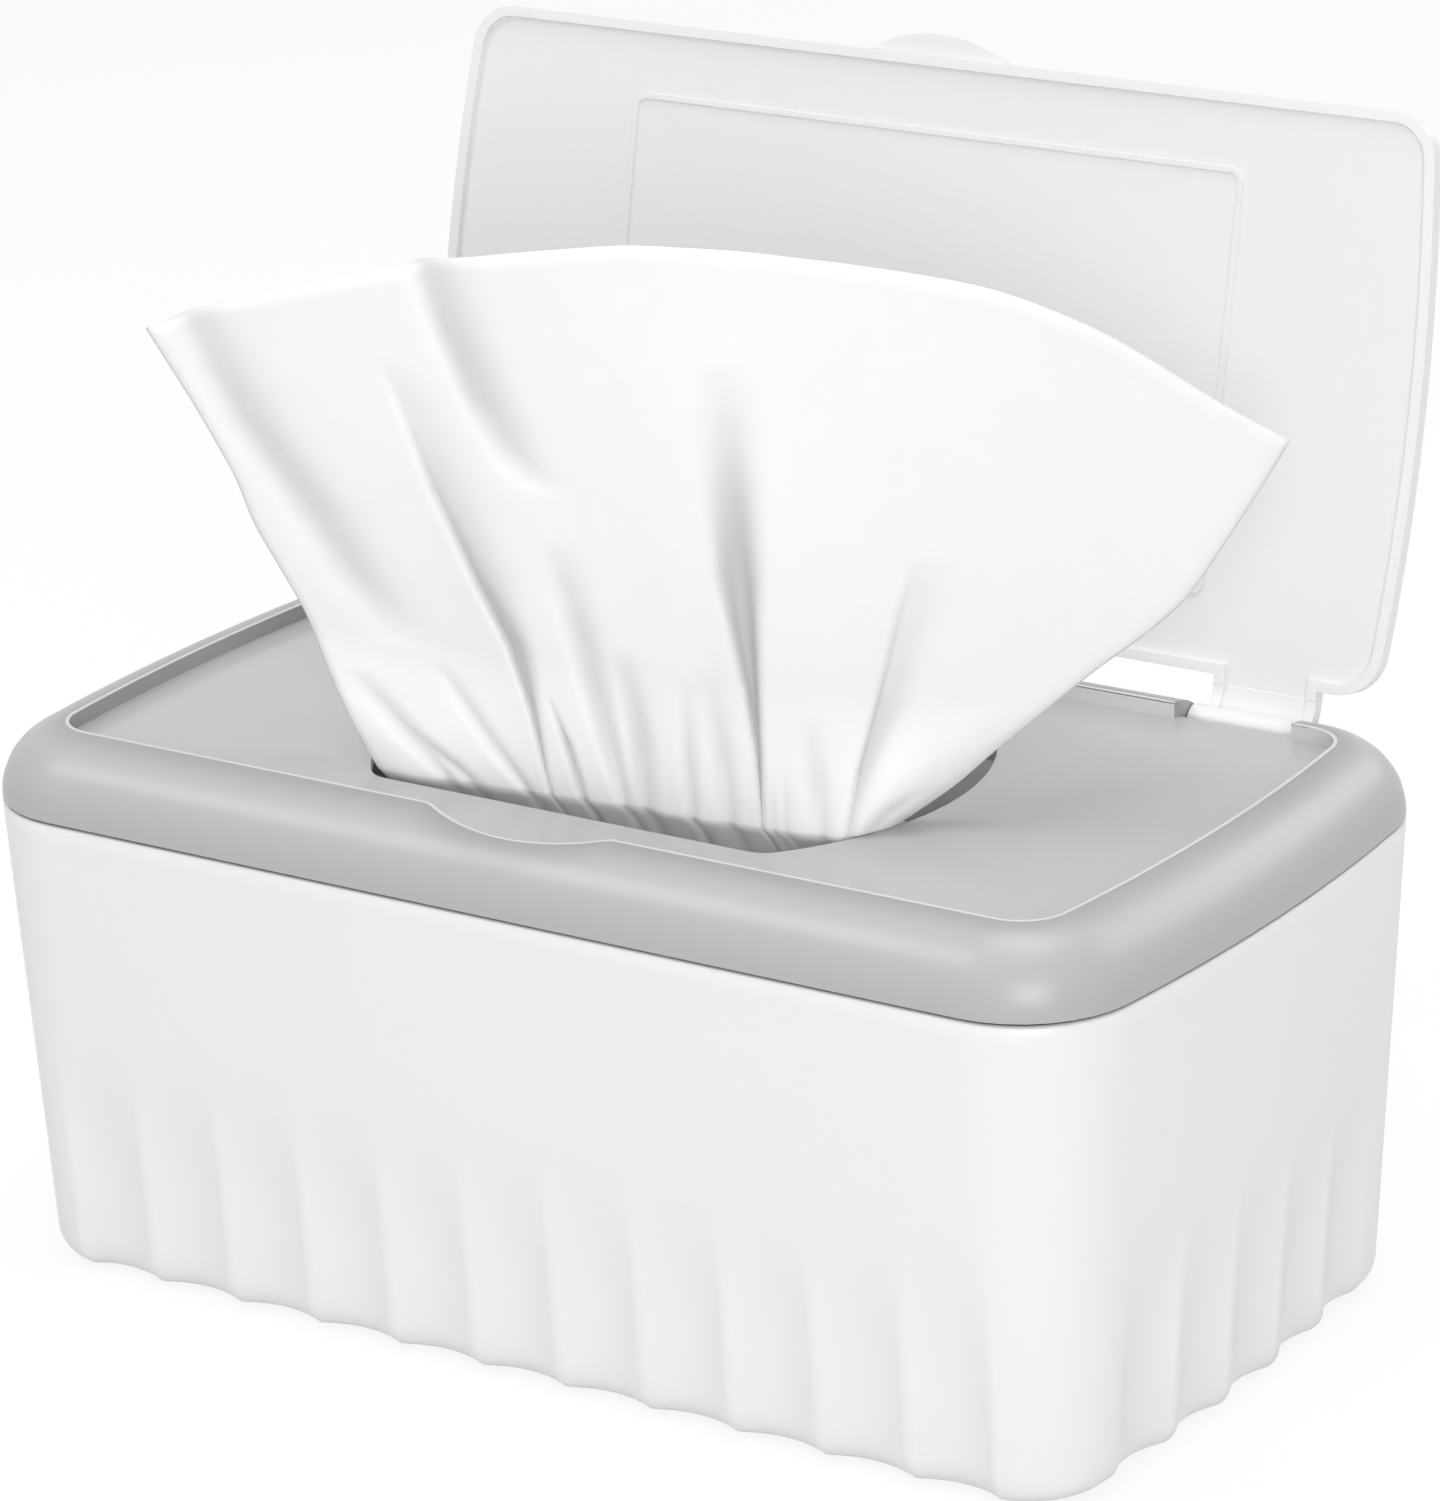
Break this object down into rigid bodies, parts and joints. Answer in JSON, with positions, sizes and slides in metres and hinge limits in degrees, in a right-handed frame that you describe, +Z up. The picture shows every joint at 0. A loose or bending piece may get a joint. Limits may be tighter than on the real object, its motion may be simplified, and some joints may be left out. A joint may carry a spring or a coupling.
{
  "type": "countertop wipes dispenser",
  "caption": "Refillable tub for interfolded wipes, with fluted walls, a lift-off cover with a wide slot, and a flip lid on snap-in hinge arms",
  "frame": {"origin": "Middle of the flat base that the tub rests on", "axes": "+X along the long side, to the right of someone facing the finger scoop; +Y from the scoop to the hinge; +Z up. The lid is drawn open, at the end of its travel"},
  "size_m": [0.2004, 0.1317, 0.1786],
  "materials": {
    "white_plastic": "satin moulded white",
    "satin_grey": "satin silver-grey",
    "wipes": "soft nonwoven"
  },
  "bodies": {
    "tub": {"tub": "white_plastic", "wipe_stack": "wipes"},
    "cover": {"cover": "satin_grey"},
    "lid": {"lid": "white_plastic"},
    "wipe": {"raised_wipe": "wipes"}
  },
  "joints": [
    {"name": "cover_lift", "type": "slide", "parent": "tub", "child": "cover", "axis": [0, 0, 1], "range_m": [0, 0.03]},
    {"name": "lid_hinge", "type": "hinge", "parent": "cover", "child": "lid", "pos_m": [0, 0.0509, 0.0829], "axis": [1, 0, 0], "range_deg": [0, 102], "deforming": ["raised_wipe"]},
    {"name": "wipe_pull", "type": "slide", "parent": "cover", "child": "wipe", "axis": [0, 0, 1], "range_m": [0, 0.08]}
  ]
}
